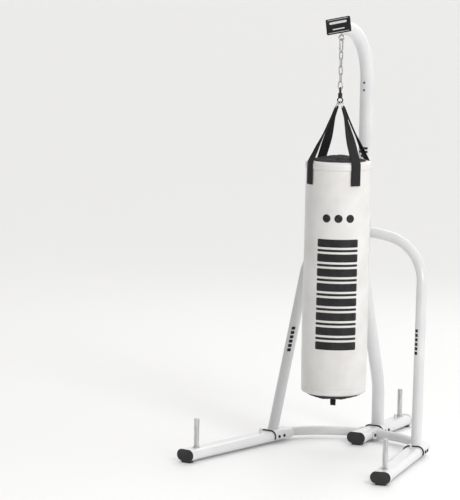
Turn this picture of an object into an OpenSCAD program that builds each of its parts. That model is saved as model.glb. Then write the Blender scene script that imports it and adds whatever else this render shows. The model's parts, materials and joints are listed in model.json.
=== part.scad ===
// Heavy bag hanging from a free-standing steel stand.
// +X is to the right, -Y is the side where the bag hangs, +Z is up.
// The origin is on the floor, below the centre of the whole part.

/* [Base] */
// Width of the oval leg tube
leg_w = 90; // [80:1:100]
// Height of the oval leg tube
leg_h = 50; // [44:1:54]
// Wall of the leg tube
leg_wall = 2.5; // [2:0.5:4]
// Height of the leg centreline above the floor
leg_z = 36; // [34:1:38]
// Length of each side leg
leg_len = 795; // [700:5:900]
// Outward turn of each side leg, in degrees
leg_splay = 10; // [6:1:14]
// Half of the gap between the rear ends of the side legs
leg_rear_x = 352; // [340:1:365]
// Where the side legs end at the rear
leg_rear_y = 80; // [60:1:100]
// Where the centre leg ends at the front
centre_front_y = 122; // [110:1:140]
// Diameter of the curved rear bar
bar_d = 44; // [44:1:50]

/* [Upright and boom] */
// Place of the upright's foot along the centre leg
foot_y = 370; // [350:1:390]
// Diameter of the lower upright
lower_d = 60; // [56:1:60]
// Diameter of the upper sleeve and boom
boom_d = 65; // [65:1:68]
// Wall of the round tubes
tube_wall = 2; // [1.5:0.25:2]
// Forward lean of the slanted run, in degrees
lean = 21; // [19:0.5:22]
// Bend radius at both ends of the slanted run
lean_r = 266; // [200:1:300]
// Length of the slanted run
lean_run = 535; // [500:1:560]
// Height where the upper sleeve starts
sleeve_z = 1095; // [1092:1:1120]
// Height where the boom starts to bend
bend_z = 1745; // [1700:5:1760]
// Bend radius of the boom
boom_r = 250; // [240:5:260]
// Turn of the boom, in degrees
boom_turn = 80; // [76:1:84]
// Straight run at the boom's tip
tip_run = 130; // [120:5:150]
// Width of the plate at the tip
plate_w = 123; // [100:1:130]
// Height of the plate at the tip
plate_h = 73; // [60:1:80]
// Turn of the plate in its own plane, in degrees
plate_tilt = 12; // [0:1:15]

/* [Arch] */
// Diameter of the arch tube
arch_d = 50; // [44:1:50]
// Height of the arch's crown
arch_z = 1017; // [1000:1:1030]
// Bend radius of the crown
crown_r = 500; // [450:10:600]
// Half turn of the crown, in degrees
crown_a = 15; // [12:1:18]
// Bend radius of the shoulders
shoulder_r = 230; // [200:5:250]
// Inward lean of the arch's legs, in degrees
arch_leg_a = 5.1; // [4:0.1:6]

/* [Weight pegs] */
// Diameter of a peg
peg_d = 24; // [20:1:26]
// Height of a peg above its leg
peg_h = 136; // [100:1:180]
// Distance of a side peg from the leg's rear end
peg_t = 716; // [650:1:740]
// Place of the rear peg
rear_peg_y = 638; // [600:1:650]
// Hole through each leg eye
eye_hole_d = 11; // [9:0.5:12]

/* [Hook and chain] */
// Place of the hanging point
hang_y = -159; // [-165:1:-155]
// Height of the hook's pivot in the boom's eye
hang_z = 1945; // [1940:1:1948]
// Wire of the boom's eye and of the snap hook
hook_wire = 7; // [7:0.5:7.5]
// Middle radius of the snap hook's bows
hook_r = 15; // [15:0.5:16]
// Straight length of the snap hook
hook_run = 33; // [33:1:40]
// Wire of a chain link
link_wire = 6; // [5.5:0.5:6]
// Middle radius of a link's ends
link_r = 7.5; // [7.5:0.5:8]
// Straight length of a link
link_run = 26; // [24:1:30]
// Number of chain links
link_count = 4; // [4:1:4]

/* [Bag] */
// Diameter of the bag
bag_d = 305; // [280:1:305]
// Height of the bag's side
bag_h = 1080; // [900:10:1090]
// Height of the bag's rim
rim_z = 1380; // [1370:1:1390]
// Wall of the vinyl shell
vinyl = 3; // [2:0.5:3]
// Rise of the black top
top_rise = 33; // [20:1:40]
// Bulge of the black underside
bottom_drop = 27; // [10:1:30]
// Width of the tab under the bag
tab_w = 25; // [20:1:30]
// Thickness of the tab under the bag
tab_t = 6; // [4:0.5:8]
// Height of the tab under the bag
tab_h = 38; // [30:1:45]
// Width of the webbing straps
strap_w = 50; // [40:1:50]
// Thickness of the webbing
strap_t = 2.5; // [2:0.5:3]
// Length of strap sewn to the bag's side
tail_h = 100; // [80:5:120]
// Turn of the strap pairs from +X, in degrees
strap_turn = 11; // [0:1:45]

/* [Hidden] */
$fn = 64;
eps = 0.1;
slip = 0.05;
reach = 2;
joint_run = 6;
big = 2000;
gap = 0.4;
hole_play = 0.6;
bolt_d = 8;
washer_t = 4;
spigot_d = peg_d - 2;
peg_chamfer = 2;
side_eye_t = 210;
rear_eye_y = 585;
cap_front = 6;
cap_len = 34;
cap_wall = 2.5;
saddle_t = 5;
saddle_len = 90;
saddle_t0 = 62;
liner_in = 0.2;
liner_out = 1.8;
saddle_in = 2;
leg_top = leg_z + leg_h / 2;
cap_reach = leg_len + cap_front;
cap_half_w = leg_w / 2 + cap_wall;
// the rear cap reaches as far back as the side legs reach forward
rear_y = cap_reach * cos(leg_splay) + cap_half_w * sin(leg_splay) - leg_rear_y - cap_front;
centre_len = rear_y - centre_front_y;
centre_saddle_t0 = rear_y - foot_y - saddle_len / 2;
saddle_top = leg_z + leg_h / 2 + saddle_in / 2 + saddle_t;
saddle_low = -12;
bar_r = 440;
bar_apex_y = 265;
flange_t = 5;
flange_x = leg_w / 2 + eps;
lean_z = 210;
upright_y = foot_y - 2 * lean_r * (1 - cos(lean)) - lean_run * sin(lean);
lean_top_z = lean_z + 2 * lean_r * sin(lean) + lean_run * cos(lean);
lower_top_z = 1440;
splice_z = [1391, 1316];
plug_z = [1735, 1700];
bracket_t = 4;
bracket_z = [935, 1090];
bracket_bolt_z = [958, 1074];
arch_y = upright_y + lower_d / 2 + bracket_t + arch_d / 2 + 0.2;
arch_foot_t = saddle_t0 + saddle_len / 2;
arch_foot_y = leg_rear_y - arch_foot_t * cos(leg_splay);
arch_lean = atan((arch_y - arch_foot_y) / (arch_z - leg_top));
shoulder_a = 90 - crown_a - arch_leg_a;
arch_leg_run = 800;
tip_y = upright_y - boom_r * (1 - cos(boom_turn)) - tip_run * sin(boom_turn);
tip_z = bend_z + boom_r * sin(boom_turn) + tip_run * cos(boom_turn);
eye_r = 12;
eye_z = hang_z + eye_r;
hook_top_z = hang_z + hook_wire + gap;
hook_bow_z = hook_top_z - hook_r;
hook_low_z = hook_bow_z - hook_run - hook_r;
gate_run = 29;
gate_z = hook_bow_z - hook_run + 3;
gate_knuckle_r = 4;
rivet_r = 1.5;
link_rise = hook_wire / 2 + link_wire / 2 + 0.5;
link_pitch = link_run + 2 * link_r - link_wire - gap;
link_1_z = hook_low_z + link_rise - link_r;
link_low_z = link_1_z - (link_count - 1) * link_pitch - link_run - link_r;
wire_rise = link_wire + 0.5;
pear_r = 11;
pear_run = 19.5;
pear_z = link_low_z + wire_rise - link_r;
pear_low_z = pear_z - pear_run - pear_r;
swivel_eye_z = pear_low_z + wire_rise - link_r;
swivel_eye_run = 2;
cup_top_z = swivel_eye_z - swivel_eye_run - link_r - 8.6;
cup_r = 10;
cup_h = 20;
shank_r = 4;
loop_r = 12;
loop_z = cup_top_z - cup_h - loop_r - 1;
ring_wire = 5;
ring_w = 41;
ring_h = 31;
ring_corner = 7;
ring_x = 4.5;
ring_z = loop_z - 4.4;
ring_tilt = 22;
ring_low_x = ring_x + ring_h * sin(ring_tilt);
ring_low_z = ring_z - ring_h * cos(ring_tilt);
strap_loop_w = 12.5;
strap_loop_r = ring_wire / 2 + 0.6 + strap_t;
strap_loop_y = 7.05;
bag_r = bag_d / 2;
bag_low_z = rim_z - bag_h;
cap_skirt = 8;
fill_inset = cap_skirt + 1;
band_h = 28;
band_t = 1.5;
tail_r = bag_r + band_t + 0.3;
tail_a = 2 * asin(strap_w / 2 / tail_r);
inner_r = bag_r - vinyl - 0.2;
liner_t = 4;

// ---- shared shapes ----

module oval(w, h) {
    square([w - h, h], center = true);
    for (side = [-1, 1]) {
        translate([side * (w - h) / 2, 0]) circle(d = h);
    }
}

module ring2d(d, wall) {
    difference() {
        circle(d = d);
        circle(d = d - 2 * wall);
    }
}

// A straight tube up from the origin. Its wall is a hair thinner than a bend's,
// and it reaches a little way into the bends at its low and high ends
module run(d, len, wall, low = reach, high = reach) {
    translate([0, 0, -low]) linear_extrude(len + low + high) ring2d(d - 2 * slip, wall - 2 * slip);
}

// A bend that starts upward at the origin and turns towards +X
module bend(d, r, a, wall) {
    translate([r, 0, 0]) rotate([90, 0, 180])
        rotate_extrude(angle = a) translate([r, 0]) ring2d(d, wall);
}

module after_bend(r, a) {
    translate([r * (1 - cos(a)), 0, r * sin(a)]) rotate([0, a, 0]) children();
}

// A closed wire loop in XY: the top bow is at the origin, the lower one is below it
module belt_loop(r_top, r_low, drop, wire) {
    b = asin((r_low - r_top) / drop);
    rotate(b) rotate_extrude(angle = 180 - 2 * b) translate([r_top, 0]) circle(d = wire);
    translate([0, -drop, 0]) rotate(180 - b)
        rotate_extrude(angle = 180 + 2 * b) translate([r_low, 0]) circle(d = wire);
    for (side = [0, 1]) {
        mirror([side, 0, 0]) translate([r_top * cos(b), r_top * sin(b), 0])
            rotate([90, 0, b]) translate([0, 0, -1]) cylinder(d = wire - 0.3, h = drop * cos(b) + 2);
    }
}

// A bolt along Z, centred, with a domed head at the top and a nut at the bottom
module bolt(grip, d = bolt_d) {
    cylinder(d = d, h = grip, center = true);
    translate([0, 0, grip / 2]) cylinder(d1 = 2 * d, d2 = 1.4 * d, h = 0.6 * d);
    translate([0, 0, -grip / 2 - 0.7 * d]) cylinder(d = 1.9 * d, h = 0.7 * d, $fn = 6);
}

// ---- base ----

// Local Z runs forward along a leg from its rear end, and local Y is up
module side_leg_frame(side) {
    translate([side * leg_rear_x, leg_rear_y, leg_z]) rotate([90, 0, side * leg_splay]) children();
}

module centre_leg_frame() {
    translate([0, rear_y, leg_z]) rotate([90, 0, 0]) children();
}

module leg_tube(len) {
    linear_extrude(len) difference() {
        oval(leg_w, leg_h);
        oval(leg_w - 2 * leg_wall, leg_h - 2 * leg_wall);
    }
}

// Both cross bolts of a saddle that starts at t0 along its leg
module saddle_axes(t0) {
    for (t = [t0 + 25, t0 + saddle_len - 25]) {
        translate([0, 0, t]) rotate([0, 90, 0]) children();
    }
}

module bolt_hole() {
    cylinder(d = bolt_d + hole_play, h = 2 * leg_w, center = true);
}

module bar_bolt_axes() {
    for (dz = [-14, 14]) {
        translate([0, bar_apex_y + dz * 2.6, leg_z]) rotate([0, 90, 0]) children();
    }
}

module peg_hole(t) {
    translate([0, 0, t]) rotate([-90, 0, 0]) cylinder(d = spigot_d + hole_play, h = leg_h);
}

module side_leg(side) {
    color("whitesmoke") side_leg_frame(side) difference() {
        leg_tube(leg_len);
        saddle_axes(saddle_t0) bolt_hole();
        peg_hole(peg_t);
    }
}

module centre_base_leg() {
    color("whitesmoke") difference() {
        centre_leg_frame() difference() {
            leg_tube(centre_len);
            saddle_axes(centre_saddle_t0) bolt_hole();
            peg_hole(rear_y - rear_peg_y);
        }
        bar_bolt_axes() bolt_hole();
    }
}

module curved_bar(side) {
    color("whitesmoke") difference() {
        union() {
            intersection() {
                translate([0, bar_apex_y - bar_r, leg_z]) rotate([0, 0, 90 - (1 + side) * 30])
                    rotate_extrude(angle = 60) translate([bar_r, 0]) ring2d(bar_d, tube_wall);
                translate([side > 0 ? flange_x : -big - flange_x, -big / 2, 0]) cube([big, big, big]);
            }
            bar_flange(side);
        }
        bar_bolt_axes() bolt_hole();
        side_leg_frame(side) translate([-big / 2, -big / 2, -eps]) cube(big);
    }
}

module bar_flange(side) {
    x0 = side > 0 ? flange_x : -flange_x - flange_t;
    translate([x0, bar_apex_y, leg_z]) rotate([90, 0, 90])
        linear_extrude(flange_t) oval(110, leg_h - 6);
}

module bar_flange_bolts() {
    color("dimgray") bar_bolt_axes() bolt(2 * (flange_x + flange_t + eps));
}

// An end cap with its foot pad, in a leg's frame, facing local +Z
module leg_cap() {
    difference() {
        union() {
            translate([0, 0, cap_front - cap_len]) linear_extrude(cap_len)
                oval(leg_w + 2 * cap_wall, leg_h + 2 * cap_wall);
            translate([-23, -leg_z, cap_front - cap_len]) cube([46, 14, cap_len - 2]);
        }
        translate([0, 0, -cap_len]) linear_extrude(cap_len + eps) oval(leg_w + 0.4, leg_h + 0.4);
    }
}

module side_leg_cap(side) {
    color([0.1, 0.1, 0.1]) side_leg_frame(side) translate([0, 0, leg_len]) leg_cap();
}

module centre_front_cap() {
    color([0.1, 0.1, 0.1]) centre_leg_frame() translate([0, 0, centre_len]) leg_cap();
}

module centre_rear_cap() {
    color([0.1, 0.1, 0.1]) centre_leg_frame() mirror([0, 0, 1]) leg_cap();
}

module saddle_outline(grow) {
    difference() {
        oval(leg_w + grow, leg_h + grow);
        translate([-big / 2, saddle_low - big]) square(big);
    }
}

module saddle(t0) {
    difference() {
        translate([0, 0, t0]) linear_extrude(saddle_len) difference() {
            saddle_outline(saddle_in + 2 * saddle_t);
            oval(leg_w + saddle_in, leg_h + saddle_in);
        }
        saddle_axes(t0) bolt_hole();
    }
}

// A thin liner under a saddle, with a lip in front of it
module saddle_liner(t0) {
    difference() {
        union() {
            translate([0, 0, t0]) linear_extrude(saddle_len + eps) saddle_outline(liner_out);
            translate([0, 0, t0 + saddle_len + eps]) linear_extrude(3)
                saddle_outline(saddle_in + 2 * saddle_t + 1);
        }
        translate([0, 0, t0 - 1]) linear_extrude(saddle_len + 10) oval(leg_w + liner_in, leg_h + liner_in);
        saddle_axes(t0) bolt_hole();
    }
}

module arch_saddle(side) {
    color("whitesmoke") side_leg_frame(side) saddle(saddle_t0);
}

module upright_saddle() {
    color("whitesmoke") centre_leg_frame() saddle(centre_saddle_t0);
}

module side_saddle_liner(side) {
    color([0.1, 0.1, 0.1]) side_leg_frame(side) saddle_liner(saddle_t0);
}

module upright_saddle_liner() {
    color([0.1, 0.1, 0.1]) centre_leg_frame() saddle_liner(centre_saddle_t0);
}

module saddle_bolts() {
    grip = leg_w + saddle_in + 2 * saddle_t + 2 * eps;
    color("dimgray") {
        for (side = [-1, 1]) {
            side_leg_frame(side) saddle_axes(saddle_t0) bolt(grip);
        }
        centre_leg_frame() saddle_axes(centre_saddle_t0) bolt(grip);
    }
}

module weight_peg_at(t) {
    seat = leg_h / 2 + washer_t + 2 * eps;
    low = -leg_h / 2 + leg_wall + eps;
    top = leg_h / 2 + peg_h;
    translate([0, 0, t]) rotate([-90, 0, 0]) {
        translate([0, 0, low]) cylinder(d = spigot_d, h = seat - low);
        translate([0, 0, seat]) cylinder(d = peg_d, h = top - peg_chamfer - seat);
        translate([0, 0, top - peg_chamfer])
            cylinder(d1 = peg_d, d2 = peg_d - 2 * peg_chamfer, h = peg_chamfer);
    }
}

module side_weight_peg(side) {
    color("silver") side_leg_frame(side) weight_peg_at(peg_t);
}

module rear_weight_peg() {
    color("silver") centre_leg_frame() weight_peg_at(rear_y - rear_peg_y);
}

module peg_washer_at(t) {
    translate([0, 0, t]) rotate([-90, 0, 0]) translate([0, 0, leg_h / 2 + eps]) difference() {
        cylinder(d = peg_d + 10, h = washer_t);
        translate([0, 0, -1]) cylinder(d = spigot_d + hole_play, h = washer_t + 2);
    }
}

module peg_washers() {
    color([0.1, 0.1, 0.1]) {
        for (side = [-1, 1]) {
            side_leg_frame(side) peg_washer_at(peg_t);
        }
        centre_leg_frame() peg_washer_at(rear_y - rear_peg_y);
    }
}

module leg_eye_at(t) {
    translate([0, leg_h / 2 + 10, t]) rotate([0, 90, 0]) difference() {
        cylinder(d = eye_hole_d + 11, h = 5, center = true);
        cylinder(d = eye_hole_d, h = 10, center = true);
        translate([-big / 2, -10 - big + eps, -big / 2]) cube(big);
    }
}

module leg_eyes() {
    color("whitesmoke") {
        for (side = [-1, 1]) {
            side_leg_frame(side) leg_eye_at(side_eye_t);
        }
        centre_leg_frame() leg_eye_at(rear_y - rear_eye_y);
    }
}

// ---- upright and boom ----

module splice_axes() {
    for (z = splice_z) {
        translate([0, upright_y, z]) rotate([90, 0, 0]) children();
    }
}

module bracket_axes() {
    for (z = bracket_bolt_z) {
        translate([0, upright_y + bracket_t / 2, z]) rotate([-90, 0, 0]) children();
    }
}

module lower_upright() {
    low_run = lean_z - saddle_top - eps;
    color("whitesmoke") difference() {
        translate([0, foot_y, saddle_top + eps]) rotate([0, 0, -90]) {
            run(lower_d, low_run, tube_wall, low = 0);
            translate([0, 0, low_run]) {
                bend(lower_d, lean_r, lean, tube_wall);
                after_bend(lean_r, lean) {
                    run(lower_d, lean_run, tube_wall);
                    translate([0, 0, lean_run]) rotate([0, 0, 180]) {
                        bend(lower_d, lean_r, lean, tube_wall);
                        after_bend(lean_r, lean) run(lower_d, lower_top_z - lean_top_z, tube_wall, high = 0);
                    }
                }
            }
        }
        splice_axes() bolt_hole();
        bracket_axes() bolt_hole();
    }
}

module eye_bolt_hole() {
    translate([0, hang_y, eye_z]) cylinder(d = bolt_d + hole_play, h = 200);
}

module upper_boom() {
    color("whitesmoke") difference() {
        translate([0, upright_y, sleeve_z]) rotate([0, 0, -90]) {
            run(boom_d, bend_z - sleeve_z, tube_wall, low = 0);
            translate([0, 0, bend_z - sleeve_z]) {
                bend(boom_d, boom_r, boom_turn, tube_wall);
                after_bend(boom_r, boom_turn) run(boom_d, tip_run, tube_wall, high = 0);
            }
        }
        splice_axes() bolt_hole();
        eye_bolt_hole();
    }
}

// Local Z points out of the boom's tip, local X is up and local Y is to the left
module tip_frame() {
    translate([0, tip_y, tip_z]) rotate([0, 0, -90]) rotate([0, boom_turn, 0]) rotate([0, 0, 180]) children();
}

module boom_end_plug() {
    color([0.1, 0.1, 0.1]) tip_frame() difference() {
        union() {
            translate([0, 0, -9]) cylinder(d = boom_d - 2 * tube_wall - 0.4, h = 9 + eps);
            translate([0, 0, eps]) cylinder(d = boom_d, h = 3);
        }
        plate_screw_axes() cylinder(d = 5 + hole_play, h = 40, center = true);
    }
}

module plate_screw_axes() {
    for (side = [-1, 1]) {
        rotate(plate_tilt) translate([0, side * 16, 0]) children();
    }
}

module sign_plate() {
    corner = 6;
    color([0.07, 0.07, 0.07]) tip_frame() difference() {
        rotate(plate_tilt) translate([0, 0, 3 + 2 * eps]) linear_extrude(4) {
            square([plate_h - 2 * corner, plate_w], center = true);
            square([plate_h, plate_w - 2 * corner], center = true);
            for (sx = [-1, 1], sy = [-1, 1]) {
                translate([sx * (plate_h / 2 - corner), sy * (plate_w / 2 - corner)]) circle(r = corner);
            }
        }
        plate_screw_axes() cylinder(d = 5 + hole_play, h = 40, center = true);
    }
}

module sign_plate_screws() {
    color("dimgray") tip_frame() plate_screw_axes() {
        translate([0, 0, -14]) cylinder(d = 5, h = 21.4);
        translate([0, 0, 7 + 3 * eps]) cylinder(d1 = 9, d2 = 6, h = 2.5);
    }
}

module splice_bolts() {
    color("dimgray") splice_axes() bolt(boom_d + 0.6);
}

module boom_hole_plugs() {
    color([0.1, 0.1, 0.1]) difference() {
        for (z = plug_z) {
            translate([0, upright_y - boom_d / 2 + 1.5, z]) rotate([90, 0, 0])
                cylinder(d1 = 11, d2 = 8, h = 4);
        }
        translate([0, upright_y, sleeve_z]) cylinder(d = boom_d + 2 * eps, h = bend_z - sleeve_z);
    }
}

// ---- arch ----

// The curved crown that joins both halves of the arch
module arch_crown(d, wall) {
    translate([0, arch_y, arch_z]) rotate([-arch_lean, 0, 0]) translate([0, 0, -crown_r]) rotate([90, 0, 0])
        rotate([0, 0, 90 - crown_a]) rotate_extrude(angle = 2 * crown_a)
            translate([crown_r, 0]) ring2d(d, wall);
}

// One side of the arch below its crown, down to its foot, in the arch's leaning plane
module half_arch(d, wall) {
    translate([0, arch_y, arch_z]) rotate([-arch_lean, 0, 0]) rotate([0, 90, 0]) {
        after_bend(crown_r, crown_a) {
            run(d, joint_run, wall);
            translate([0, 0, joint_run]) {
                bend(d, shoulder_r, shoulder_a, wall);
                after_bend(shoulder_r, shoulder_a) run(d, arch_leg_run, wall);
            }
        }
    }
}

module arch_frame() {
    color("whitesmoke") difference() {
        union() {
            arch_crown(arch_d, tube_wall);
            half_arch(arch_d, tube_wall);
            mirror([1, 0, 0]) half_arch(arch_d, tube_wall);
        }
        for (side = [-1, 1]) {
            side_leg_frame(side) linear_extrude(400)
                oval(leg_w + saddle_in + 2 * saddle_t + 2 * eps, leg_h + saddle_in + 2 * saddle_t + 2 * eps);
        }
        translate([-big / 2, -big / 2, -big]) cube([big, big, big + leg_z]);
    }
}

module arch_bracket() {
    color("whitesmoke") difference() {
        translate([0, upright_y, bracket_z[0]]) rotate([0, 0, 30]) rotate_extrude(angle = 120)
            translate([lower_d / 2 + 0.2, 0]) square([bracket_t - 0.2, bracket_z[1] - bracket_z[0]]);
        bracket_axes() bolt_hole();
    }
}

module arch_bolts() {
    color("dimgray") bracket_axes() bolt(lower_d + bracket_t + 0.6);
}

// ---- hook and chain ----

// Local XY is the YZ plane through the hanging line, with local Y up
module fore_aft_plane(z) {
    translate([0, hang_y, z]) rotate([90, 0, 90]) children();
}

// Local XY is the XZ plane through the hanging line, with local Y up
module crosswise_plane(z) {
    translate([0, hang_y, z]) rotate([90, 0, 0]) children();
}

module boom_eye_bolt() {
    color("silver") {
        crosswise_plane(eye_z) rotate_extrude() translate([eye_r, 0]) circle(d = hook_wire);
        translate([0, hang_y, eye_z + eye_r]) cylinder(d = bolt_d, h = 92 - eye_r);
    }
}

// A nut with a domed top, seated on the top of the boom
module eye_bolt_nut() {
    color("dimgray") difference() {
        translate([0, hang_y, eye_z + 70]) cylinder(d = 17, h = 26);
        translate([0, hang_y, eye_z]) cylinder(d = bolt_d + hole_play, h = 94);
        translate([0, tip_y, tip_z]) rotate([0, 0, -90]) rotate([0, boom_turn, 0])
            translate([0, 0, -tip_run]) cylinder(d = boom_d + 2 * eps, h = tip_run + 20);
    }
}

module snap_hook() {
    color("silver") {
        fore_aft_plane(hook_bow_z) {
            rotate_extrude(angle = 180) translate([hook_r, 0]) circle(d = hook_wire);
            translate([hook_r, 0, 0]) rotate([90, 0, 0]) cylinder(d = hook_wire, h = hook_run);
            difference() {
                translate([0, -hook_run, 0]) rotate(180)
                    rotate_extrude(angle = 180) translate([hook_r, 0]) circle(d = hook_wire);
                translate([-hook_r, -hook_run + 3, 0])
                    cylinder(r = gate_knuckle_r + 0.5, h = 4.4, center = true);
            }
        }
        difference() {
            translate([-3.5, hang_y - hook_r, gate_z]) rotate([0, 90, 0]) cylinder(r = gate_knuckle_r, h = 7);
            translate([-2.2, hang_y - hook_r - 9, gate_z - 9]) cube([4.4, 18, 18]);
            translate([0, hang_y - hook_r, gate_z]) rotate([0, 90, 0])
                cylinder(r = rivet_r + 0.02, h = 20, center = true);
        }
    }
}

module hook_gate() {
    color("gainsboro") difference() {
        translate([0, hang_y - hook_r, gate_z]) {
            rotate([0, 90, 0]) cylinder(r = gate_knuckle_r, h = 3.8, center = true);
            translate([0, 0, gate_knuckle_r + 0.8]) cylinder(d = 6, h = gate_run - gate_knuckle_r - 1.2);
            translate([-1.9, -2.3, 0]) cube([3.8, 4.6, 8]);
        }
        translate([0, hang_y - hook_r, gate_z]) {
            rotate([0, 90, 0]) cylinder(r = rivet_r + 0.06, h = 20, center = true);
            translate([0, 0, 8]) cylinder(d = 2.8, h = 15);
        }
    }
}

module gate_spring() {
    color("silver") translate([0, hang_y - hook_r, gate_z + 8.5]) cylinder(d = 2.2, h = 14);
}

module gate_rivet() {
    color("gray") translate([0, hang_y - hook_r, gate_z]) rotate([0, 90, 0]) {
        cylinder(r = rivet_r, h = 7.4, center = true);
        for (side = [0, 1]) {
            mirror([0, 0, side]) translate([0, 0, 3.6]) cylinder(r1 = 2.8, r2 = 2, h = 1);
        }
    }
}

module chain_link(i) {
    z = link_1_z - (i - 1) * link_pitch;
    color("silver") {
        if (i % 2 == 1) crosswise_plane(z) belt_loop(link_r, link_r, link_run, link_wire);
        if (i % 2 == 0) fore_aft_plane(z) belt_loop(link_r, link_r, link_run, link_wire);
    }
}

module pear_link() {
    color("silver") crosswise_plane(pear_z) belt_loop(link_r, pear_r, pear_run, link_wire);
}

module swivel_eye() {
    head_top = cup_top_z - 5.5;
    color("dimgray") {
        fore_aft_plane(swivel_eye_z) belt_loop(link_r, link_r, swivel_eye_run, link_wire);
        translate([0, hang_y, cup_top_z + 0.4]) cylinder(r = 6, h = 8);
        translate([0, hang_y, head_top - 1]) cylinder(r = shank_r, h = 8);
        translate([0, hang_y, head_top - 7]) cylinder(r = 7, h = 7);
    }
}

module swivel_cup() {
    color("dimgray") {
        translate([0, hang_y, cup_top_z - cup_h]) difference() {
            cylinder(r = cup_r, h = cup_h);
            translate([0, 0, 5]) cylinder(r = 7.8, h = cup_h - 10);
            translate([0, 0, cup_h / 2]) cylinder(r = shank_r + 0.06, h = cup_h);
        }
        strap_frame() rotate([90, 0, 0]) translate([0, loop_z, 0])
            rotate_extrude() translate([loop_r, 0]) circle(d = link_wire);
    }
}

// ---- straps ----

// Local X points to the right pair of straps
module strap_frame() {
    translate([0, hang_y, 0]) rotate(strap_turn) children();
}

module strap_ring() {
    half_w = ring_w / 2;
    color("silver") translate([ring_x, 0, ring_z]) rotate([0, -ring_tilt, 0]) rotate([90, 0, 90])
        translate([0, -ring_h / 2, 0]) {
            for (sx = [0, 1], sy = [0, 1]) {
                mirror([sx, 0, 0]) mirror([0, sy, 0]) {
                    translate([half_w - ring_corner, ring_h / 2 - ring_corner, 0])
                        rotate_extrude(angle = 90) translate([ring_corner, 0]) circle(d = ring_wire);
                    translate([0, ring_h / 2, 0]) rotate([0, 90, 0])
                        cylinder(d = ring_wire, h = half_w - ring_corner);
                    translate([half_w, 0, 0]) rotate([-90, 0, 0])
                        cylinder(d = ring_wire, h = ring_h / 2 - ring_corner);
                }
            }
        }
}

module right_strap_ring() {
    strap_frame() strap_ring();
}

module left_strap_ring() {
    strap_frame() rotate(180) strap_ring();
}

// One strap: a loop round its ring, the run to the rim and the sewn tail
module strap(pair_turn, side) {
    color([0.08, 0.08, 0.08]) strap_frame() rotate(pair_turn) {
        difference() {
            translate([ring_low_x, side * strap_loop_y, ring_low_z]) rotate([90, 0, 0])
                cylinder(r = strap_loop_r, h = strap_loop_w, center = true);
            translate([ring_low_x, 0, ring_low_z]) rotate([90, 0, 0])
                cylinder(r = strap_loop_r - strap_t - 0.2, h = 60, center = true);
        }
        hull() {
            translate([ring_low_x + 2, side * strap_loop_y, ring_low_z - 4.6])
                cube([4, strap_loop_w - 1, 1], center = true);
            rotate(side * 45) translate([tail_r + strap_t / 2, 0, rim_z + 1])
                cube([strap_t - 0.6, strap_w - 2, 1], center = true);
        }
        rotate(side * 45 - tail_a / 2) translate([0, 0, rim_z - tail_h]) rotate_extrude(angle = tail_a)
            translate([tail_r, 0]) square([strap_t, tail_h + 2]);
    }
}

// ---- bag ----

module at_bag(z) {
    translate([0, hang_y, z]) children();
}

// A shallow dome of revolution with a flat rim of height skirt
module dome(r, rise, fullness) {
    steps = 12;
    arc = [for (i = [0:steps]) let (x = r * i / steps) [x, rise * (1 - pow(i / steps, fullness))]];
    rotate_extrude() polygon(concat(arc, [[r, -cap_skirt], [0, -cap_skirt]]));
}

module bag_shell() {
    color("ghostwhite") at_bag(bag_low_z) difference() {
        cylinder(r = bag_r, h = bag_h);
        translate([0, 0, -1]) cylinder(r = bag_r - vinyl, h = bag_h + 2);
    }
}

module bag_top_band() {
    color("ghostwhite") at_bag(rim_z - band_h) difference() {
        cylinder(r = bag_r + band_t, h = band_h);
        translate([0, 0, -1]) cylinder(r = bag_r + eps, h = band_h + 2);
    }
}

module bag_top_cap() {
    color([0.1, 0.1, 0.1]) at_bag(rim_z) dome(inner_r, top_rise, 2.4);
}

module bag_liner() {
    color("lightgray") at_bag(bag_low_z + fill_inset) difference() {
        cylinder(r = inner_r, h = bag_h - 2 * fill_inset);
        translate([0, 0, -1]) cylinder(r = inner_r - liner_t, h = bag_h);
    }
}

module bag_filling() {
    color("tan") at_bag(bag_low_z + fill_inset)
        cylinder(r = inner_r - liner_t - 0.2, h = bag_h - 2 * fill_inset);
}

module bag_bottom_cap() {
    color([0.1, 0.1, 0.1]) at_bag(bag_low_z) mirror([0, 0, 1]) dome(inner_r, bottom_drop, 4);
}

module bag_bottom_tab() {
    color([0.1, 0.1, 0.1]) at_bag(bag_low_z - bottom_drop - tab_h)
        translate([-tab_w / 2, -tab_t / 2, 0]) cube([tab_w, tab_t, tab_h - eps]);
}

side_leg(-1);  // left_base_leg
side_leg(1);  // right_base_leg
centre_base_leg();
curved_bar(-1);  // left_curved_bar
curved_bar(1);  // right_curved_bar
bar_flange_bolts();
side_leg_cap(-1);  // left_leg_cap
side_leg_cap(1);  // right_leg_cap
centre_front_cap();
centre_rear_cap();
arch_saddle(-1);  // left_arch_saddle
arch_saddle(1);  // right_arch_saddle
upright_saddle();
side_saddle_liner(-1);  // left_saddle_liner
side_saddle_liner(1);  // right_saddle_liner
upright_saddle_liner();
saddle_bolts();
lower_upright();
upper_boom();
boom_end_plug();
sign_plate();
sign_plate_screws();
arch_frame();
arch_bracket();
arch_bolts();
splice_bolts();
boom_hole_plugs();
side_weight_peg(-1);  // left_weight_peg
side_weight_peg(1);  // right_weight_peg
rear_weight_peg();
peg_washers();
leg_eyes();
boom_eye_bolt();
eye_bolt_nut();
snap_hook();
hook_gate();
gate_spring();
gate_rivet();
chain_link(1);  // chain_link_1
chain_link(2);  // chain_link_2
chain_link(3);  // chain_link_3
chain_link(4);  // chain_link_4
pear_link();
swivel_eye();
swivel_cup();
right_strap_ring();
left_strap_ring();
strap(0, -1);  // front_right_strap
strap(0, 1);  // rear_right_strap
strap(180, -1);  // rear_left_strap
strap(180, 1);  // front_left_strap
bag_shell();
bag_top_band();
bag_top_cap();
bag_liner();
bag_filling();
bag_bottom_cap();
bag_bottom_tab();
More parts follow.
